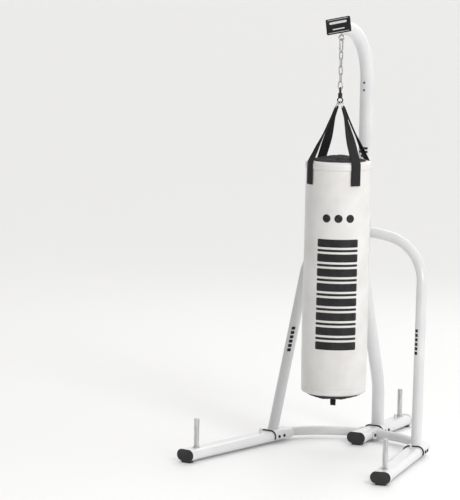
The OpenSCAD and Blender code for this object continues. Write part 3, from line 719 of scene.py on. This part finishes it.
def add_strap(name, node, pair_turn, side, opens, material):
    """A webbing strap, folded lengthwise at its ring. It opens out over the stretch opens of its run."""
    turn = STRAP_TURN + pair_turn
    outward = Vector((math.cos(turn), math.sin(turn), 0))
    sideways = Vector((-math.sin(turn), math.cos(turn), 0))
    bar_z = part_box("right_strap_ring")[0].z + RING_WIRE
    bar_out = (4.5 + 31 * math.sin(RING_TILT)) * MM
    ring = BAG_AXIS + outward * bar_out + sideways * side * 7.05 * MM + Vector((0, 0, bar_z))
    angle = turn + side * math.pi / 4
    radial = Vector((math.cos(angle), math.sin(angle), 0))
    tangent = Vector((-radial.y, radial.x, 0))
    rim = BAG_AXIS + radial * (BAG_R + 2.2 * MM) + Vector((0, 0, RIM_Z + 1.5 * MM))
    points = strap_path(ring, rim, radial)
    steps = distances_along([point for point, _ in points])
    rings, uvs, count = [], [], 9
    for i, (point, face) in enumerate(points):
        share = (i - RUN_START) / (RUN_END - RUN_START)
        spread = smooth_step((share - opens[0]) / (opens[1] - opens[0]))
        half = FOLDED_W / 2 * (1 - spread) + STRAP_W / 2 * spread
        folded = 1 - spread if i >= RUN_START else 0
        thick = 1.1 * MM + 1.5 * MM * folded * smooth_step(share * 8)
        across = sideways.lerp(tangent, smooth_step(share * 1.3)).normalized()
        across = (across - face * across.dot(face)).normalized()
        cup = 6.0 * MM * 4 * spread * (1 - spread)
        section = []
        for side_of_cloth in (1, -1):
            for k in range(count):
                x = (2 * k / (count - 1) - 1) * side_of_cloth
                edge = 1 - 0.55 * abs(x) ** 8
                fold = cup * math.cos(x * math.pi * 1.5) * 0.5
                place = point + across * half * x + face * (side_of_cloth * thick * edge - fold)
                if i >= RUN_END:
                    place = place - radial * fall_away(half * x)
                section.append(place)
                uvs.append((half * x, steps[i]))
        rings.append(section)
    soup = Soup()
    soup.add_rings(rings, uvs=uvs)
    piece = soup.piece(name, material, "bag", "black_webbing")
    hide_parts(node)
    return radial, tangent, rim


# ---- stitching and welds ----

def add_stitch(soup, a, b, out, radius=0.45 * MM):
    """One thread stitch from a to b, bowed out of the cloth."""
    along = (b - a).normalized()
    across = along.cross(out).normalized()
    rings = []
    for share, size in ((0.0, 0.35), (0.2, 0.9), (0.5, 1.0), (0.8, 0.9), (1.0, 0.35)):
        centre = a.lerp(b, share) + out * radius * (0.2 + 1.2 * math.sin(math.pi * share))
        rings.append(circle_ring(centre, across, out, radius * size, 6))
    soup.add_rings(rings)


def add_band_stitching(material):
    """Two rows of stitches round the top band and one round the bottom hem."""
    rows = (
        (bag_flat_point, RIM_Z - BAND_H + 5 * MM, 1.5 * MM),
        (bag_flat_point, RIM_Z - 6 * MM, 1.7 * MM),
        (bag_point, HEM_Z, 0.1 * MM),
    )
    soup = Soup()
    count, stitch_share = 180, 0.62
    for point, z, lift in rows:
        for i in range(count):
            a, b = TAU * i / count, TAU * (i + stitch_share) / count
            out = Vector((math.cos((a + b) / 2), math.sin((a + b) / 2), 0))
            add_stitch(soup, point(a, z, lift), point(b, z, lift), out)
    soup.piece("band_stitching", material, "bag", "white_vinyl")


def tail_point(end, x, drop):
    """A point on a strap's tail, at x across it and drop below the rim."""
    radial, tangent, rim = end
    return rim + tangent * x + radial * (2.6 * MM - fall_away(x)) - Vector((0, 0, drop))


def add_tail_stitching(ends, material):
    """A sewn box with a cross in it on each strap's tail."""
    soup = Soup()
    half, top, bottom = 19 * MM, 30 * MM, 92 * MM
    pitch, stitch_share = 4.4 * MM, 0.6
    corners = [(-half, top), (half, top), (half, bottom), (-half, bottom)]
    sides = list(zip(corners, corners[1:] + corners[:1]))
    cross = [(corners[0], corners[2]), (corners[1], corners[3])]
    for end in ends:
        for (x0, d0), (x1, d1) in sides + cross:
            count = max(int(math.hypot(x1 - x0, d1 - d0) / pitch), 1)
            for i in range(count):
                s, e = i / count, (i + stitch_share) / count
                a = tail_point(end, x0 + (x1 - x0) * s, d0 + (d1 - d0) * s)
                b = tail_point(end, x0 + (x1 - x0) * e, d0 + (d1 - d0) * e)
                add_stitch(soup, a, b, end[0])
    soup.piece("strap_stitching", material, "bag", "black_webbing")


def saddle_height(x):
    """Height of a saddle's top at a distance x from its middle."""
    over = max(abs(x) - SADDLE_FLAT, 0.0)
    return LEG_Z + math.sqrt(max(SADDLE_R ** 2 - over ** 2, 0.0))


def add_weld(name, centre, turn, lean, radius, material):
    """A rippled weld bead where a round tube meets the top of a saddle."""
    count, ripple = 120, 34
    across = Vector((math.cos(turn), math.sin(turn), 0))
    along = Vector((-math.sin(turn), math.cos(turn), 0))
    rings = []
    for i in range(count):
        a = TAU * i / count
        x, y = radius * math.cos(a), radius * math.sin(a)
        z = saddle_height(x)
        rise = z - centre.z
        place = centre + across * x + along * y + lean * rise + Vector((0, 0, rise))
        out = (across * math.cos(a) + along * math.sin(a)).normalized()
        size = (2.2 + 0.25 * math.sin(a * ripple)) * MM
        rings.append(circle_ring(place, out, Vector((0, 0, 1)), size, 8))
    soup = Soup()
    soup.add_rings(rings, closed=True)
    soup.piece(name, material, "stand", "white_powder_coat")


def add_welds(material):
    top = saddle_height(0)
    for side, name in ((-1, "left_foot_weld"), (1, "right_foot_weld")):
        a, b = arch_leg_axis(side, top), arch_leg_axis(side, top + 0.1)
        lean = (b - a) / 0.1
        lean.z = 0
        add_weld(name, a, side * LEG_SPLAY, lean, ARCH_R + 0.5 * MM, material)
    low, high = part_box("upright_saddle")
    foot = Vector((0, (low.y + high.y) / 2, top))
    add_weld("upright_foot_weld", foot, 0, Vector((0, 0, 0)), UPRIGHT_R + 0.5 * MM, material)


# ---- the plate ----

def add_plate_trim(light):
    """Four plain raised stripes on the tip plate, clear of its screws."""
    low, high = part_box("sign_plate")
    half_thick, turn, tilt = 2 * MM, math.radians(80), math.radians(12)
    normal = Vector((0, -math.sin(turn), math.cos(turn)))
    level = Vector((1, 0, 0))
    rise = normal.cross(level)
    across = level * math.cos(tilt) + rise * math.sin(tilt)
    up = rise * math.cos(tilt) - level * math.sin(tilt)
    face = (low + high) / 2 + normal * half_thick
    soup = Soup()

    def stripe(x, y, half_w, half_h):
        """A bar with round ends, centred at x and y on the plate's face."""
        ends = []
        for side in (1, -1):
            for i in range(9):
                a = math.pi * (i / 8 - 0.5)
                along = half_w - half_h + half_h * math.cos(a)
                ends.append((x + side * along, y + side * half_h * math.sin(a)))
        rings = []
        for lift, shrink in ((-0.3, 1.0), (0.45, 1.0), (0.6, 0.97)):
            base = face + normal * lift * MM
            rings.append([base + across * (x + (px - x) * shrink) + up * (y + (py - y) * shrink)
                          for px, py in ends])
        soup.add_rings(rings)

    stripe(0, 15 * MM, 44 * MM, 5.5 * MM)
    stripe(0, -15 * MM, 30 * MM, 2.5 * MM)
    for side in (-1, 1):
        stripe(0, side * 30 * MM, 52 * MM, 0.9 * MM)
    soup.piece("plate_stripes", light, "stand", "black_plate", smooth=False)


# ---- putting it together ----

def smooth_cad_nodes():
    """Round CAD surfaces shade smoothly, and their sharp edges stay sharp."""
    for node in frame["nodes"].values():
        node.data.shade_smooth()
        node.data.set_sharp_from_angle(angle=math.radians(32))


def dress_cad_nodes(finishes):
    """Gives each CAD node the finish of its material slot."""
    slots = {row["node"]: row["material_slot"] for row in frame["record"]["subparts"]}
    for name, node in frame["nodes"].items():
        node.data.materials.clear()
        node.data.materials.append(finishes[slots[name]])


def dress_leg_caps(collar):
    """The caps' sides are white collars round the dark insert and foot pad."""
    insert_lip = 5 * MM
    pad_top = 14 * MM
    directions = {
        "left_leg_cap": Vector((-math.sin(LEG_SPLAY), -math.cos(LEG_SPLAY), 0)),
        "right_leg_cap": Vector((math.sin(LEG_SPLAY), -math.cos(LEG_SPLAY), 0)),
        "centre_front_cap": Vector((0, -1, 0)),
        "centre_rear_cap": Vector((0, 1, 0)),
    }
    for name, outward in directions.items():
        mesh = frame["nodes"][name].data
        mesh.materials.append(collar)
        front = max(v.co.dot(outward) for v in mesh.vertices)
        for face in mesh.polygons:
            middle = face.center
            if front - middle.dot(outward) > insert_lip and middle.z > pad_top:
                face.material_index = 1


def build():
    add_camera()
    add_studio()
    coat, canvas, strap_cloth = powder_coat(), black_canvas(), webbing()
    vinyl, ink = white_vinyl(), printed_black()
    finishes = {
        "white_powder_coat": coat,
        "black_plastic": moulded_plastic(),
        "zinc_plate": zinc_plate(),
        "black_steel": black_oxide(),
        "black_plate": satin_enamel(),
        "peg_steel": peg_steel(),
        "white_vinyl": vinyl,
        "black_webbing": strap_cloth,
        "black_fabric": canvas,
        # foam_liner is the saddle liners' slot. Their black is painted shadow: black strips set between
        # each saddle and its leg tube, standing in for the shade in that gap.
        "foam_liner": canvas,
        "textile_filling": canvas,
    }
    smooth_cad_nodes()
    dress_cad_nodes(finishes)
    dress_leg_caps(coat)
    add_bag_shell(vinyl)
    add_top_band(vinyl)
    add_end_cap("bag_top_canvas", "bag_top_cap", canvas, rim=BAG_R - 22 * MM, z0=RIM_Z + SHOULDER,
                rise=TOP_RISE - SHOULDER, fullness=1.8, seed=2.5)
    add_end_cap("bag_bottom_canvas", "bag_bottom_cap", canvas, rim=BAG_R - CORNER + 1 * MM,
                z0=BOTTOM_Z + 1 * MM, rise=-BOTTOM_DROP, fullness=3.4, seed=7.5)
    add_bottom_tab(strap_cloth)
    add_bag_print(ink)
    add_tube_prints(ink)
    early, late = (0.0, 0.7), (0.45, 1.0)
    straps = (
        ("front_right_webbing", "front_right_strap", 0.0, -1, early),
        ("rear_right_webbing", "rear_right_strap", 0.0, 1, late),
        ("rear_left_webbing", "rear_left_strap", math.pi, -1, early),
        ("front_left_webbing", "front_left_strap", math.pi, 1, late),
    )
    ends = [add_strap(*row, strap_cloth) for row in straps]
    add_band_stitching(thread("white_thread", (0.6, 0.59, 0.56), (0.8, 0.79, 0.76)))
    add_tail_stitching(ends, thread("black_thread", (0.03, 0.03, 0.03), (0.08, 0.08, 0.08)))
    add_welds(coat)
    add_plate_trim(thread("pale_enamel", (0.7, 0.7, 0.7), (0.78, 0.78, 0.78)))


build()
